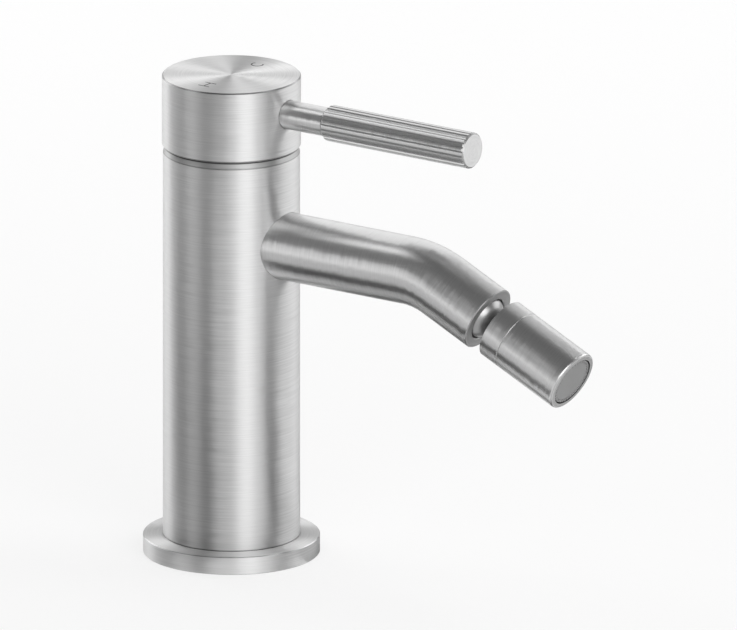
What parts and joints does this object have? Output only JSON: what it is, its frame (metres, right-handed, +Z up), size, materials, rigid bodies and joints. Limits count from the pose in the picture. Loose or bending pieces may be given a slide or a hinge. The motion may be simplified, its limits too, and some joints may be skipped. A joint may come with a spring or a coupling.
{
  "type": "bidet mixer",
  "caption": "Single-lever bidet mixer: slim round column on a flat flange, drum cap with a fluted side lever, bent tube spout and a swivelling nozzle.",
  "frame": {"origin": "centre of the base flange's underside, where the mixer stands on the deck", "axes": "+Z up along the column, -Y to the front along the lever and the spout, +X to the user's right (the user stands in front and looks along +Y)"},
  "size_m": [0.058, 0.1695, 0.1624],
  "materials": {
    "brushed_steel": "fine brushing round each drum and tube, satin",
    "polished_chrome": "polished plating",
    "brass": "machined",
    "copper": "drawn tube, plain",
    "plain_steel": "turned, dull",
    "rubber": "matt black",
    "ceramic": "lapped flat faces",
    "valve_plastic": "moulded, off-white",
    "aerator_plastic": "moulded, mid grey"
  },
  "bodies": {
    "mixer_body": {"base_flange": "brushed_steel", "deck_gasket": "rubber", "inlet_block": "brass", "hot_inlet_tube": "copper", "cold_inlet_tube": "copper", "body_shell": "brushed_steel", "valve_manifold": "brass", "manifold_orings": "rubber", "cartridge_base": "valve_plastic", "base_seals": "rubber", "fixed_disc": "ceramic", "cartridge_housing": "valve_plastic", "cartridge_nut": "brass", "trim_ring": "brushed_steel", "spout": "brushed_steel", "seat_oring": "rubber", "socket_ring": "brushed_steel"},
    "spindle": {"cartridge_rotor": "valve_plastic", "stem_pin": "plain_steel"},
    "handle": {"cartridge_stem": "brass", "handle_cap": "brushed_steel", "cap_grub_screw": "plain_steel", "lever_pin": "brushed_steel", "lever_grip": "brushed_steel"},
    "sliding_disc": {"moving_disc": "ceramic", "disc_carrier": "valve_plastic"},
    "ball_seat": {"ball_seat_ring": "valve_plastic"},
    "ball": {"swivel_ball": "polished_chrome"},
    "nozzle": {"nozzle_collar": "brushed_steel", "sleeve_oring": "rubber", "nozzle_sleeve": "brushed_steel", "aerator_washer": "rubber", "flow_regulator": "valve_plastic", "aerator_housing": "aerator_plastic", "aerator_screen": "aerator_plastic"}
  },
  "joints": [
    {"name": "temperature_turn", "type": "hinge", "parent": "mixer_body", "child": "spindle", "pos_m": [0, 0, 0.1305], "axis": [0, 0, 1], "range_deg": [-50, 50]},
    {"name": "flow_lift", "type": "hinge", "parent": "spindle", "child": "handle", "pos_m": [0, 0, 0.1305], "axis": [-1, 0, 0], "range_deg": [0, 25]},
    {"name": "disc_slide", "type": "slide", "parent": "spindle", "child": "sliding_disc", "axis": [0, -1, 0], "range_m": [0, 0.0048]},
    {"name": "nozzle_swing", "type": "hinge", "parent": "mixer_body", "child": "ball_seat", "pos_m": [0, -0.09913, 0.0977], "axis": [0, -0.9063, -0.4226], "continuous": true},
    {"name": "nozzle_tilt", "type": "hinge", "parent": "ball_seat", "child": "ball", "pos_m": [0, -0.09913, 0.0977], "axis": [1, 0, 0], "range_deg": [-20, 20]},
    {"name": "nozzle_spin", "type": "hinge", "parent": "ball", "child": "nozzle", "pos_m": [0, -0.09913, 0.0977], "axis": [0, -0.9063, -0.4226], "continuous": true}
  ],
  "couplings": [
    {"joint": "disc_slide", "follows": "flow_lift", "m_per_rad": 0.010993}
  ]
}
